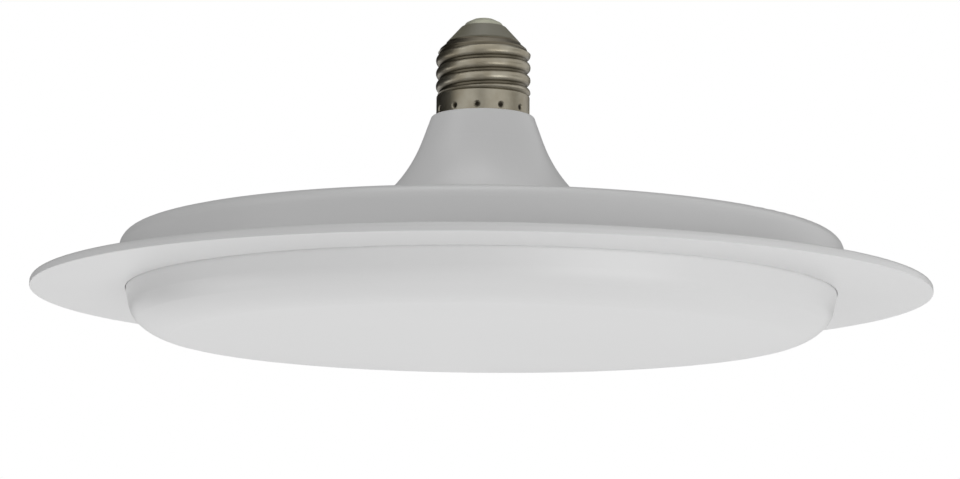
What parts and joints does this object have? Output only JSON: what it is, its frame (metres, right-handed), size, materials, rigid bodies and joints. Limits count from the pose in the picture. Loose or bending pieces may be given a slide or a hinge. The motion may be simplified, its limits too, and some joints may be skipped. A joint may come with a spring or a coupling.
{
  "type": "led disc lamp",
  "caption": "Screw-cap disc lamp with a trumpet neck, a shallow white pan with a wide thin brim, and an opal bowl diffuser.",
  "frame": {"origin": "centre of the flat of the tip contact", "axes": "+Z along the cap's axis, out of the tip, so the lamp hangs down along -Z; +X to the right and -Y towards the viewer of the picture"},
  "size_m": [0.2456, 0.2456, 0.0909],
  "materials": {
    "nickel_plate": "nickel plated, bright",
    "cap_insulator": "satin",
    "contact_metal": "nickel plated, dull",
    "white_plastic": "fine satin",
    "zinc_steel": "zinc plated",
    "spreader_aluminium": "mill finish",
    "board_white": "white solder mask on aluminium",
    "led_lens": "phosphor gel, glossy",
    "connector_plastic": "satin",
    "opal_plastic": "opal, satin",
    "board_laminate": "solder mask, satin",
    "chip_black": "moulded, matt",
    "can_sleeve": "black sleeve on an aluminium can",
    "film_yellow": "moulded box, satin",
    "varistor_blue": "dipped coating, satin",
    "resistor_coat": "cement coating, matt",
    "ferrite": "ferrite, matt",
    "copper": "enamelled copper",
    "bobbin_plastic": "moulded, matt",
    "winding_tape": "polyester tape, satin",
    "chip_ceramic": "fired, matt",
    "wire_red": "soft insulation",
    "wire_blue": "soft insulation",
    "wire_black": "soft insulation"
  },
  "bodies": {
    "root": {"screw_shell": "nickel_plate", "cap_insulator": "cap_insulator", "centre_contact": "contact_metal", "neck_housing": "white_plastic", "neck_screws": "zinc_steel", "back_pan": "white_plastic", "heat_spreader": "spreader_aluminium", "led_board": "board_white", "led_packages": "led_lens", "board_screws": "zinc_steel", "wire_connector": "connector_plastic", "diffuser": "opal_plastic", "driver_board": "board_laminate", "bridge_rectifier": "chip_black", "bulk_capacitor": "can_sleeve", "output_capacitor": "can_sleeve", "film_capacitor": "film_yellow", "varistor": "varistor_blue", "fusible_resistor": "resistor_coat", "filter_choke": "ferrite", "choke_winding": "copper", "transformer_core": "ferrite", "transformer_bobbin": "bobbin_plastic", "transformer_winding": "winding_tape", "driver_chip": "chip_black", "output_diode": "chip_black", "chip_resistors": "chip_black", "chip_capacitors": "chip_ceramic", "live_wire": "wire_red", "neutral_wire": "wire_blue", "positive_wire": "wire_red", "negative_wire": "wire_black"}
  },
  "joints": []
}
